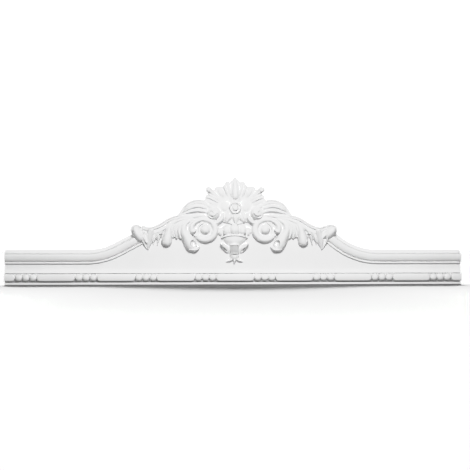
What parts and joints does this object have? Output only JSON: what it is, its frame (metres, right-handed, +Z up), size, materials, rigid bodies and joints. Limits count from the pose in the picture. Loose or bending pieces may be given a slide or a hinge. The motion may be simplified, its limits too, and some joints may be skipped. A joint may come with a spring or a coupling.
{
  "type": "door pediment",
  "caption": "Overdoor pediment moulding with bead-and-reel rail, swept cornice and a carved centre of acanthus scrolls, rosette, fruit and urn, flat back.",
  "frame": {"origin": "middle of the outer box, on the flat underside", "axes": "+X along the moulding to the right as seen from the front, +Y towards the wall behind the flat back, +Z up; the carved front faces -Y"},
  "size_m": [1.28, 0.057, 0.302],
  "materials": {
    "primed_foam": "satin white primer on moulded rigid polyurethane foam"
  },
  "bodies": {
    "root": {"pediment": "primed_foam"}
  },
  "joints": []
}
